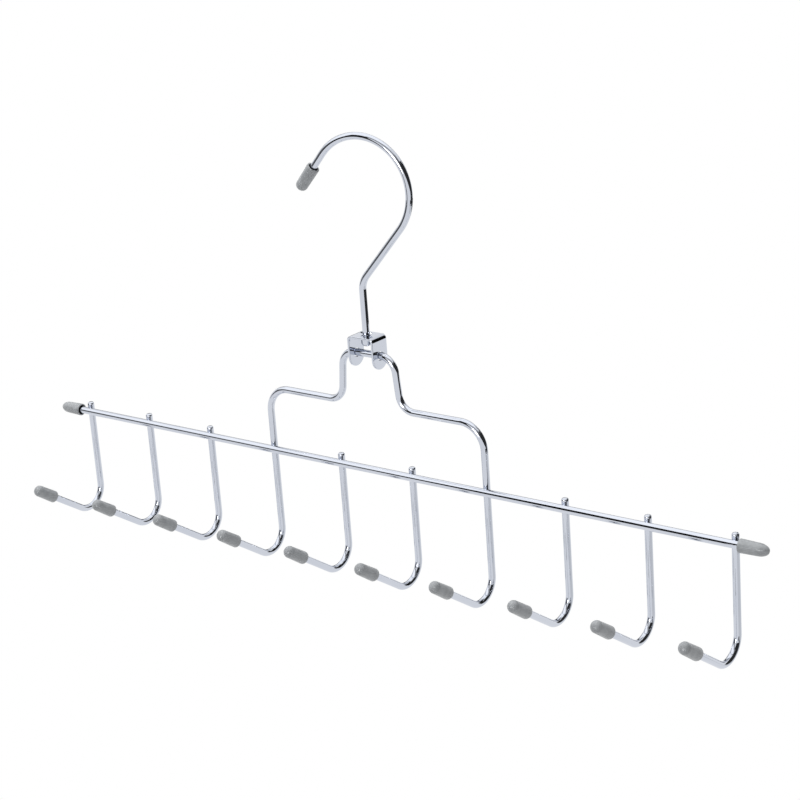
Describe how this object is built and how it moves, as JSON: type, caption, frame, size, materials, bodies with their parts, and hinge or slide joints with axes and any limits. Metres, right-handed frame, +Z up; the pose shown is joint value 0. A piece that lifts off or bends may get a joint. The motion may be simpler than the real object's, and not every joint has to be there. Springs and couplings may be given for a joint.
{
  "type": "scarf hanger",
  "caption": "Chrome wire scarf hanger: a swivel hook and clip carry a tilting yoke with a crossbar and a row of forward J hooks, each wire end under a grey vinyl cap.",
  "frame": {"origin": "where a wardrobe rail carries the hanger: the inside of the swivel hook's loop, on the swivel axis", "axes": "+X along the crossbar, to the right seen from the front, +Y to the back, the scarf hooks point to -Y, +Z up"},
  "size_m": [0.3928, 0.0477, 0.2011],
  "materials": {
    "chrome": "bright nickel-chrome plating on steel",
    "vinyl": "soft grey vinyl, semi-matte"
  },
  "bodies": {
    "hook": {"swivel_hook": "chrome", "swivel_hook_cap": "vinyl"},
    "bracket": {"swivel_bracket": "chrome"},
    "hanger": {"yoke": "chrome", "crossbar": "chrome", "bar_cap_left": "vinyl", "bar_cap_right": "vinyl", "scarf_hook_1": "chrome", "scarf_hook_2": "chrome", "scarf_hook_3": "chrome", "scarf_hook_5": "chrome", "scarf_hook_6": "chrome", "scarf_hook_8": "chrome", "scarf_hook_9": "chrome", "scarf_hook_10": "chrome", "hook_cap_1": "vinyl", "hook_cap_2": "vinyl", "hook_cap_3": "vinyl", "hook_cap_4": "vinyl", "hook_cap_5": "vinyl", "hook_cap_6": "vinyl", "hook_cap_7": "vinyl", "hook_cap_8": "vinyl", "hook_cap_9": "vinyl", "hook_cap_10": "vinyl"}
  },
  "joints": [
    {"name": "hook_swivel", "type": "hinge", "parent": "hook", "child": "bracket", "pos_m": [0, 0, -0.08592], "axis": [0, 0, 1], "continuous": true},
    {"name": "yoke_tilt", "type": "hinge", "parent": "bracket", "child": "hanger", "pos_m": [0, 0, -0.09452], "axis": [1, 0, 0], "range_deg": [-135, 135]}
  ]
}
